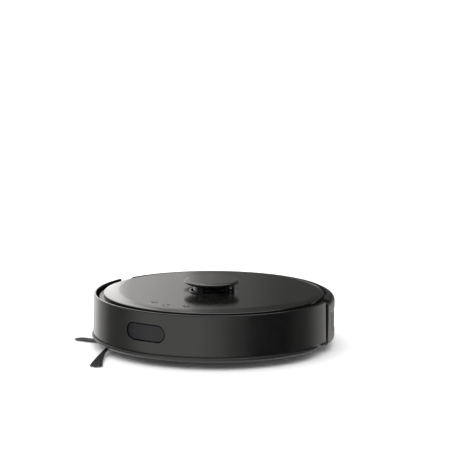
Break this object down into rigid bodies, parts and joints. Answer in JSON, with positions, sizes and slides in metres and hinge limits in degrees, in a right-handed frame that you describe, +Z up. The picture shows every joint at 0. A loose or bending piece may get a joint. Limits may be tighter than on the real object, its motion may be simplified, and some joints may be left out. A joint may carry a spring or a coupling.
{
  "type": "robot vacuum",
  "caption": "Round robot vacuum cleaner with a laser turret, sprung front bumper, drive wheels, caster, main and side brushes, and a rear pull-out dust bin.",
  "frame": {"origin": "the robot's centre line where it meets the floor, under the middle of the round body", "axes": "+Z up, -Y forward out of the bumper, +X to the robot's own left"},
  "size_m": [0.3599, 0.4005, 0.0946],
  "materials": {
    "charcoal_plastic": "fine moulded texture",
    "satin_plastic": "satin, lightly polished",
    "bumper_plastic": "smooth satin",
    "black_plastic": "gloss black",
    "inner_plastic": "plain moulded",
    "grey_plastic": "plain moulded",
    "button_plastic": "satin",
    "latch_plastic": "plain moulded",
    "soft_strip": "soft matt",
    "rubber_black": "matt",
    "belt_rubber": "matt",
    "fin_rubber": "matt",
    "bristle": "fine nylon filaments",
    "lens": "polished, infrared dark",
    "steel": "bright",
    "motor_can": "zinc plated",
    "gold_contact": "plated",
    "circuit_board": "solder mask",
    "battery_wrap": "shrink film over metal cells",
    "filter_paper": "pleated paper"
  },
  "bodies": {
    "chassis": {"base_pan": "charcoal_plastic", "top_housing": "charcoal_plastic", "top_plate": "satin_plastic", "turret_frame": "black_plastic", "turret_cap": "satin_plastic", "lidar_bearing": "steel", "lidar_motor": "motor_can", "lidar_belt": "belt_rubber", "button_board": "circuit_board", "main_board": "circuit_board", "battery_pack": "battery_wrap", "battery_cover": "charcoal_plastic", "speaker": "black_plastic", "sensor_windows": "lens", "housing_screws": "steel", "charging_contacts": "gold_contact", "exhaust_grille": "black_plastic", "fan_housing": "inner_plastic", "fan_motor": "motor_can", "bumper_switches": "inner_plastic", "brush_deck": "inner_plastic", "brush_motor": "motor_can", "brush_belt": "belt_rubber", "side_brush_motor": "inner_plastic"},
    "bumper": {"bumper_shell": "bumper_plastic", "bumper_strip": "soft_strip", "bumper_window": "lens", "bumper_springs": "steel"},
    "lidar": {"lidar_head": "black_plastic", "lidar_lenses": "lens"},
    "lidar_drive": {"lidar_pulley": "inner_plastic"},
    "power_key": {"power_button": "button_plastic"},
    "dock_key": {"dock_button": "button_plastic"},
    "spot_key": {"spot_button": "button_plastic"},
    "side_brush": {"side_brush_hub": "inner_plastic", "side_brush_bristles": "bristle", "side_brush_screw": "steel"},
    "main_brush": {"main_brush_core": "grey_plastic", "main_brush_fins": "fin_rubber", "brush_drive_pulley": "grey_plastic"},
    "brush_drive": {"brush_motor_pulley": "grey_plastic"},
    "cover": {"brush_cover": "inner_plastic"},
    "cover_latches": {"brush_cover_latches": "latch_plastic"},
    "left_arm": {"wheel_arm_left": "inner_plastic", "wheel_spring_left": "steel"},
    "left_wheel": {"wheel_hub_left": "grey_plastic", "tyre_left": "rubber_black"},
    "right_arm": {"wheel_arm_right": "inner_plastic", "wheel_spring_right": "steel"},
    "right_wheel": {"wheel_hub_right": "grey_plastic", "tyre_right": "rubber_black"},
    "caster": {"caster_fork": "charcoal_plastic", "caster_axle": "steel"},
    "caster_roller": {"caster_wheel": "grey_plastic"},
    "dustbin": {"dustbin_body": "charcoal_plastic", "dustbin_lid": "inner_plastic", "dustbin_filter": "filter_paper"},
    "bin_key": {"dustbin_release": "satin_plastic"},
    "flap": {"evac_flap": "inner_plastic"},
    "fan": {"fan_impeller": "inner_plastic"}
  },
  "joints": [
    {"name": "bumper_push", "type": "slide", "parent": "chassis", "child": "bumper", "axis": [0, 1, 0], "range_m": [0, 0.004], "stiffness_N_per_m": 500, "springref_m": -0.003, "deforming": ["bumper_springs"]},
    {"name": "lidar_spin", "type": "hinge", "parent": "chassis", "child": "lidar", "pos_m": [0, -0.007, 0.08], "axis": [0, 0, 1], "continuous": true},
    {"name": "lidar_drive_spin", "type": "hinge", "parent": "chassis", "child": "lidar_drive", "pos_m": [-0.0377, 0.0124, 0.07], "axis": [0, 0, 1], "continuous": true},
    {"name": "power_press", "type": "slide", "parent": "chassis", "child": "power_key", "axis": [0, 0, -1], "range_m": [0, 0.0005], "stiffness_N_per_m": 800, "springref_m": -0.0005},
    {"name": "dock_press", "type": "slide", "parent": "chassis", "child": "dock_key", "axis": [0, 0, -1], "range_m": [0, 0.0005], "stiffness_N_per_m": 800, "springref_m": -0.0005},
    {"name": "spot_press", "type": "slide", "parent": "chassis", "child": "spot_key", "axis": [0, 0, -1], "range_m": [0, 0.0005], "stiffness_N_per_m": 800, "springref_m": -0.0005},
    {"name": "side_brush_spin", "type": "hinge", "parent": "chassis", "child": "side_brush", "pos_m": [-0.0825, -0.1166, 0.015], "axis": [0, 0, 1], "continuous": true, "deforming": ["side_brush_bristles"]},
    {"name": "main_brush_spin", "type": "hinge", "parent": "chassis", "child": "main_brush", "pos_m": [0, 0.046, 0.027], "axis": [1, 0, 0], "continuous": true},
    {"name": "brush_motor_spin", "type": "hinge", "parent": "chassis", "child": "brush_drive", "pos_m": [0.08, 0.024, 0.056], "axis": [1, 0, 0], "continuous": true},
    {"name": "brush_cover_open", "type": "hinge", "parent": "chassis", "child": "cover", "pos_m": [0, 0.0185, 0.0078], "axis": [-1, 0, 0], "range_deg": [0, 80]},
    {"name": "cover_latch_slide", "type": "slide", "parent": "cover", "child": "cover_latches", "axis": [0, -1, 0], "range_m": [0, 0.0025], "stiffness_N_per_m": 300, "springref_m": -0.001},
    {"name": "left_arm_swing", "type": "hinge", "parent": "chassis", "child": "left_arm", "pos_m": [0.0945, -0.042, 0.03], "axis": [-1, 0, 0], "range_deg": [0, 14], "stiffness_Nm_per_rad": 0.5, "springref_deg": 51.57, "deforming": ["wheel_spring_left"]},
    {"name": "left_wheel_spin", "type": "hinge", "parent": "left_arm", "child": "left_wheel", "pos_m": [0.116, 0.01, 0.033], "axis": [1, 0, 0], "continuous": true},
    {"name": "right_arm_swing", "type": "hinge", "parent": "chassis", "child": "right_arm", "pos_m": [-0.0945, -0.042, 0.03], "axis": [-1, 0, 0], "range_deg": [0, 14], "stiffness_Nm_per_rad": 0.5, "springref_deg": 51.57, "deforming": ["wheel_spring_right"]},
    {"name": "right_wheel_spin", "type": "hinge", "parent": "right_arm", "child": "right_wheel", "pos_m": [-0.116, 0.01, 0.033], "axis": [1, 0, 0], "continuous": true},
    {"name": "caster_swivel", "type": "hinge", "parent": "chassis", "child": "caster", "pos_m": [0, -0.122, 0.04], "axis": [0, 0, 1], "continuous": true},
    {"name": "caster_roll", "type": "hinge", "parent": "caster", "child": "caster_roller", "pos_m": [0, -0.117, 0.013], "axis": [1, 0, 0], "continuous": true},
    {"name": "dustbin_pull", "type": "slide", "parent": "chassis", "child": "dustbin", "axis": [0, 1, 0], "range_m": [0, 0.11]},
    {"name": "bin_key_press", "type": "slide", "parent": "dustbin", "child": "bin_key", "axis": [0, -1, 0], "range_m": [0, 0.003], "stiffness_N_per_m": 400, "springref_m": -0.002},
    {"name": "flap_open", "type": "hinge", "parent": "dustbin", "child": "flap", "pos_m": [-0.04, 0.1005, 0.0134], "axis": [-1, 0, 0], "range_deg": [0, 70], "stiffness_Nm_per_rad": 0.002, "springref_deg": -20.05},
    {"name": "fan_spin", "type": "hinge", "parent": "chassis", "child": "fan", "pos_m": [0.106, 0.09, 0.03], "axis": [0, 0, 1], "continuous": true}
  ],
  "couplings": [
    {"joint": "lidar_drive_spin", "follows": "lidar_spin", "ratio": 5.44},
    {"joint": "brush_motor_spin", "follows": "main_brush_spin", "ratio": 2.4}
  ]
}
